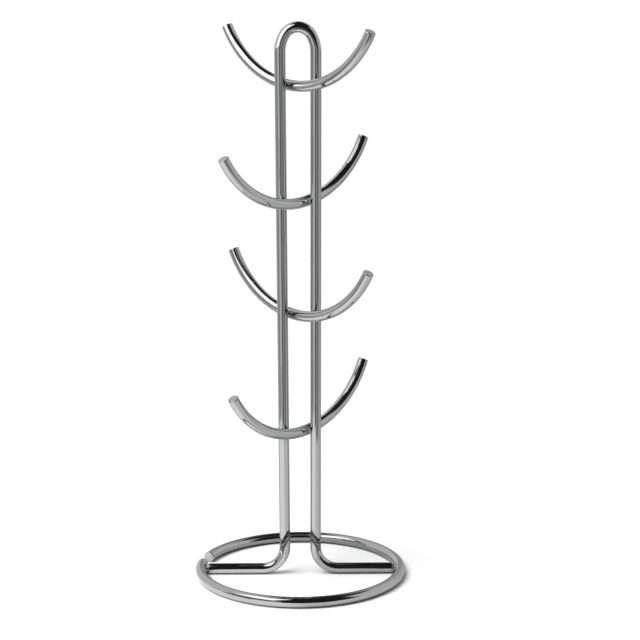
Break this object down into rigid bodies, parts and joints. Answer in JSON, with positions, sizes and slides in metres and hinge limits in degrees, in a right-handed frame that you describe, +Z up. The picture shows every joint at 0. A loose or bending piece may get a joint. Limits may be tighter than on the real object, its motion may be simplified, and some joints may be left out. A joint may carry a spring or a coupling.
{
  "type": "mug tree",
  "caption": "Free-standing mug tree of bent, welded chrome-plated wire: an arched hairpin upright on an open ring base, crossed by arc-shaped hooks with upturned ends.",
  "frame": {"origin": "on the surface that the tree stands on, at the centre of the base ring", "axes": "+Z up along the uprights; +X to the right, along the two legs; +Y to the back. The base ring's opening is at the left back."},
  "size_m": [0.158, 0.158, 0.413],
  "materials": {
    "chrome_wire": "bright chrome plate on drawn round steel wire, mirror-like with faint drawing lines",
    "chrome_weld": "chrome plated over uneven resistance-weld metal, duller and slightly rough"
  },
  "bodies": {
    "root": {"upright_frame": "chrome_wire", "base_ring": "chrome_wire", "top_hook": "chrome_wire", "upper_hook": "chrome_wire", "lower_hook": "chrome_wire", "bottom_hook": "chrome_wire", "top_hook_left_weld": "chrome_weld", "top_hook_right_weld": "chrome_weld", "upper_hook_left_weld": "chrome_weld", "upper_hook_right_weld": "chrome_weld", "lower_hook_left_weld": "chrome_weld", "lower_hook_right_weld": "chrome_weld", "bottom_hook_left_weld": "chrome_weld", "bottom_hook_right_weld": "chrome_weld", "left_leg_weld": "chrome_weld", "right_leg_weld": "chrome_weld"}
  },
  "joints": []
}
